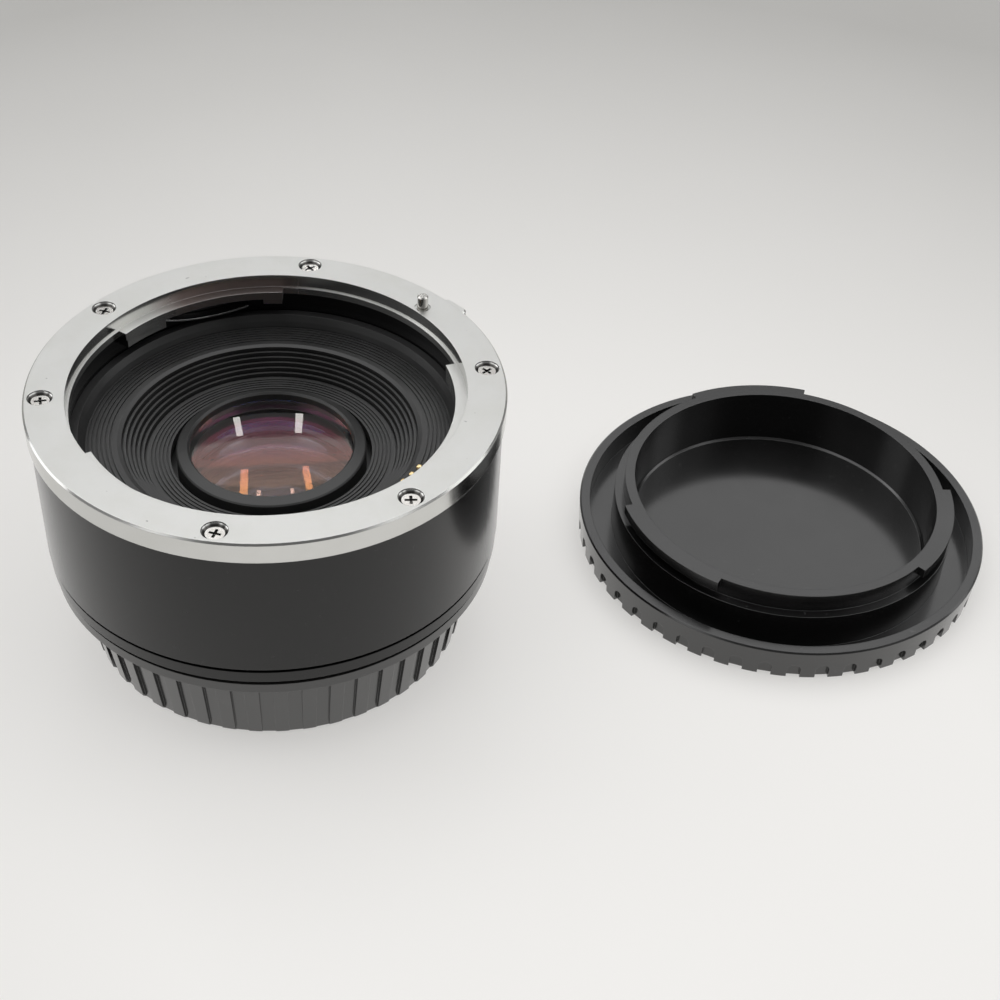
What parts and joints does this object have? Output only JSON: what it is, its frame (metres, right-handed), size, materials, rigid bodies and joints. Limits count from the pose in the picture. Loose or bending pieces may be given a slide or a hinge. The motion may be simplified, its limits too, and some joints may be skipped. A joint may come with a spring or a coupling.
{
  "type": "teleconverter",
  "caption": "Short round lens extender with a female bayonet in front, a male bayonet behind, a fitted rear cap and a loose front cap.",
  "frame": {"origin": "on the optical axis, in the front flange face", "axes": "+Z along the optical axis towards the lens; +X to the right and +Y away as pictured; it stands on its rear cap"},
  "size_m": [0.1416, 0.0863, 0.042],
  "materials": {
    "satin_nickel": "satin, turned",
    "screw_steel": "nickelled, bright",
    "spring_steel": "rolled",
    "black_barrel": "semi-matt black",
    "index_red": "enamel",
    "baffle_black": "moulded, grooved",
    "cell_black": "black anodised",
    "frame_aluminium": "turned",
    "contact_plastic": "moulded",
    "contact_gold": "gold plated",
    "flex_amber": "film",
    "board_green": "solder mask",
    "coated_glass": "coated",
    "cap_plastic": "moulded, fine grain"
  },
  "bodies": {
    "teleconverter": {"front_mount_ring": "satin_nickel", "mount_screws": "screw_steel", "barrel": "black_barrel", "lens_index_mark": "index_red", "release_spring": "spring_steel", "front_baffle": "baffle_black", "front_contact_block": "contact_plastic", "front_flex": "flex_amber", "circuit_board": "board_green", "inner_frame": "frame_aluminium", "rear_ring": "black_barrel", "rear_mount_ring": "satin_nickel", "rear_mount_screws": "screw_steel", "rear_baffle": "baffle_black", "rear_baffle_screws": "screw_steel", "rear_contact_block": "contact_plastic", "rear_contact_pads": "contact_gold", "rear_flex": "flex_amber", "lens_cell": "cell_black", "front_retaining_ring": "cell_black", "rear_retaining_ring": "cell_black", "contact_spring_1": "spring_steel", "contact_spring_2": "spring_steel", "contact_spring_3": "spring_steel", "contact_spring_4": "spring_steel", "contact_spring_5": "spring_steel", "contact_spring_6": "spring_steel", "contact_spring_7": "spring_steel", "contact_spring_8": "spring_steel", "leaf_spring_1": "spring_steel", "leaf_spring_2": "spring_steel", "leaf_spring_3": "spring_steel", "lens_1": "coated_glass", "lens_2": "coated_glass", "lens_3": "coated_glass", "lens_4": "coated_glass", "lens_5": "coated_glass", "lens_spacer_1": "cell_black", "lens_spacer_2": "cell_black", "lens_spacer_3": "cell_black"},
    "release": {"lock_pin": "screw_steel", "release_slider": "satin_nickel"},
    "rear_cap": {"rear_cap": "cap_plastic"},
    "front_cap": {"front_cap": "cap_plastic"},
    "contact_pin_1": {"contact_pin_1": "contact_gold"},
    "contact_pin_2": {"contact_pin_2": "contact_gold"},
    "contact_pin_3": {"contact_pin_3": "contact_gold"},
    "contact_pin_4": {"contact_pin_4": "contact_gold"},
    "contact_pin_5": {"contact_pin_5": "contact_gold"},
    "contact_pin_6": {"contact_pin_6": "contact_gold"},
    "contact_pin_7": {"contact_pin_7": "contact_gold"},
    "contact_pin_8": {"contact_pin_8": "contact_gold"}
  },
  "joints": [
    {"name": "release_slide", "type": "slide", "parent": "teleconverter", "child": "release", "axis": [0, 0, -1], "range_m": [0, 0.0022], "stiffness_N_per_m": 250, "springref_m": -0.004, "deforming": ["release_spring"]},
    {"name": "rear_cap_turn", "type": "hinge", "parent": "teleconverter", "child": "rear_cap", "pos_m": [0, 0, -0.03], "axis": [0, 0, 1], "range_deg": [-60, 0]},
    {"name": "front_cap_lift", "type": "slide", "parent": "teleconverter", "child": "front_cap", "axis": [0, 0, 1], "range_m": [0, 0.04]},
    {"name": "contact_press_1", "type": "slide", "parent": "teleconverter", "child": "contact_pin_1", "axis": [0, 0, -1], "range_m": [0, 0.001], "stiffness_N_per_m": 300, "springref_m": -0.002, "deforming": ["contact_spring_1"]},
    {"name": "contact_press_2", "type": "slide", "parent": "teleconverter", "child": "contact_pin_2", "axis": [0, 0, -1], "range_m": [0, 0.001], "stiffness_N_per_m": 300, "springref_m": -0.002, "deforming": ["contact_spring_2"]},
    {"name": "contact_press_3", "type": "slide", "parent": "teleconverter", "child": "contact_pin_3", "axis": [0, 0, -1], "range_m": [0, 0.001], "stiffness_N_per_m": 300, "springref_m": -0.002, "deforming": ["contact_spring_3"]},
    {"name": "contact_press_4", "type": "slide", "parent": "teleconverter", "child": "contact_pin_4", "axis": [0, 0, -1], "range_m": [0, 0.001], "stiffness_N_per_m": 300, "springref_m": -0.002, "deforming": ["contact_spring_4"]},
    {"name": "contact_press_5", "type": "slide", "parent": "teleconverter", "child": "contact_pin_5", "axis": [0, 0, -1], "range_m": [0, 0.001], "stiffness_N_per_m": 300, "springref_m": -0.002, "deforming": ["contact_spring_5"]},
    {"name": "contact_press_6", "type": "slide", "parent": "teleconverter", "child": "contact_pin_6", "axis": [0, 0, -1], "range_m": [0, 0.001], "stiffness_N_per_m": 300, "springref_m": -0.002, "deforming": ["contact_spring_6"]},
    {"name": "contact_press_7", "type": "slide", "parent": "teleconverter", "child": "contact_pin_7", "axis": [0, 0, -1], "range_m": [0, 0.001], "stiffness_N_per_m": 300, "springref_m": -0.002, "deforming": ["contact_spring_7"]},
    {"name": "contact_press_8", "type": "slide", "parent": "teleconverter", "child": "contact_pin_8", "axis": [0, 0, -1], "range_m": [0, 0.001], "stiffness_N_per_m": 300, "springref_m": -0.002, "deforming": ["contact_spring_8"]}
  ]
}
